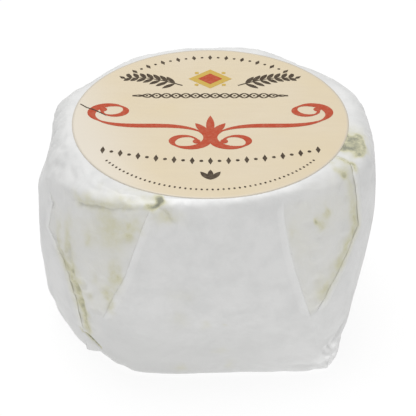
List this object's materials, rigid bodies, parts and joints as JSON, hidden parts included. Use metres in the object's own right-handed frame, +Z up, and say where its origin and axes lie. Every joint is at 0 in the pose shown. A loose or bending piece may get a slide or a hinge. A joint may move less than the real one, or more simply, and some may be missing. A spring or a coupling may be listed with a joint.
{
  "type": "chaource cheese",
  "caption": "Small drum-shaped soft cheese wrapped in one sheet of white paper, pleated down the side and folded under, with a round paper label on top.",
  "frame": {"origin": "on the resting plane, under the middle of the wrapped cheese's extent", "axes": "+Z up out of the labelled top; the broad front panel of the wrap faces -Y"},
  "size_m": [0.0906, 0.0874, 0.0576],
  "materials": {
    "rind": "soft, velvety white bloomy rind",
    "wrapping_paper": "thin satin waxed paper, slightly translucent, with pressed creases",
    "label_paper": "smooth cream printed paper, faint sheen"
  },
  "bodies": {
    "root": {"cheese": "rind", "paper_wrap": "wrapping_paper", "label": "label_paper"}
  },
  "joints": []
}
